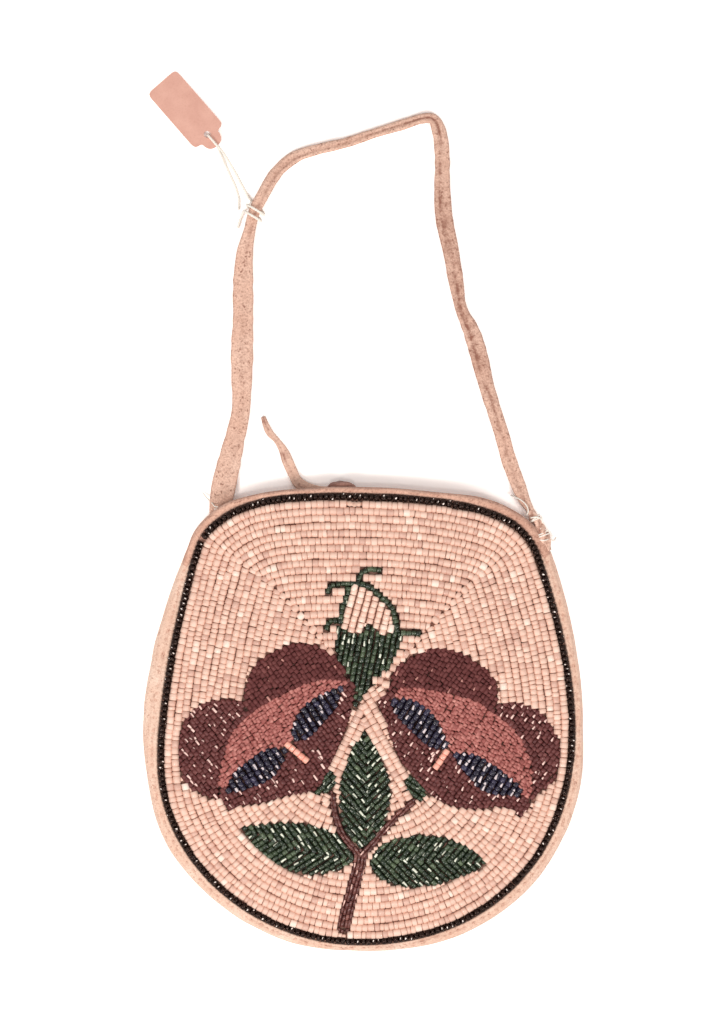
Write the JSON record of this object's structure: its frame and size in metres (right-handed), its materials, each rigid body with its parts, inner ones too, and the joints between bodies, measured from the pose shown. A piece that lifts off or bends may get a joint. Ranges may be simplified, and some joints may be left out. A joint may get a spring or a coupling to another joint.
{
  "type": "beaded coin purse",
  "caption": "Flat round hide pouch with an open mouth, its front covered in seed beads in a floral pattern, with a shoulder strap, a tie thong and a string tag.",
  "frame": {"origin": "middle of the back panel's resting face, halfway between the black bead row's two sides and near the middle of its height", "axes": "+Y from the pouch's round base to its mouth and on to the strap, +Z out of the beaded front, +X to the right seen from the front"},
  "size_m": [0.1322, 0.2636, 0.0099],
  "materials": {
    "hide": "smoke-tanned hide, matte suede",
    "strap_hide": "matte suede, pinkish tan, soiled at its edges",
    "thong_hide": "matte suede",
    "tag_card": "matte coloured card",
    "string": "twisted cotton",
    "ground_beads": "translucent pale pink seed beads, glossy",
    "black_beads": "opaque black cut beads, glossy",
    "maroon_beads": "transparent dark red seed beads, glossy",
    "rose_beads": "opaque rose seed beads, satin",
    "navy_beads": "transparent navy cut beads, glossy",
    "coral_beads": "opaque coral beads, glossy",
    "green_beads": "transparent dark green cut beads, glossy",
    "stem_beads": "dark red seed beads, glossy",
    "petal_beads": "pale pink cut beads, glossy"
  },
  "bodies": {
    "root": {"back_panel": "hide", "border_beads": "black_beads", "bud_calyx": "green_beads", "bud_outline_left": "green_beads", "bud_outline_right": "green_beads", "bud_petals": "petal_beads", "bud_tendril_left": "green_beads", "bud_tendril_low": "green_beads", "bud_tendril_right": "green_beads", "bud_tendril_top": "green_beads", "edge_binding": "hide", "front_panel": "hide", "ground_beads": "ground_beads", "leaf_centre": "green_beads", "leaf_left": "green_beads", "leaf_right": "green_beads", "left_flower_blue_lower": "navy_beads", "left_flower_blue_upper": "navy_beads", "left_flower_coral_bar": "coral_beads", "left_flower_lower_petal": "maroon_beads", "left_flower_rose_band": "rose_beads", "left_flower_side_lobe": "maroon_beads", "left_flower_upper_lobe": "maroon_beads", "mouth_roll": "hide", "right_flower_blue_lower": "navy_beads", "right_flower_blue_upper": "navy_beads", "right_flower_coral_bar": "coral_beads", "right_flower_lower_petal": "maroon_beads", "right_flower_rose_band": "rose_beads", "right_flower_side_lobe": "maroon_beads", "right_flower_upper_lobe": "maroon_beads", "sepal_left": "green_beads", "sepal_right": "green_beads", "stem_left": "stem_beads", "stem_main": "stem_beads", "stem_right": "stem_beads", "strap": "strap_hide", "strap_end": "strap_hide", "tag": "tag_card", "tag_string": "string", "tie_knot": "thong_hide", "tie_stitch": "thong_hide", "tie_thong": "thong_hide"}
  },
  "joints": []
}
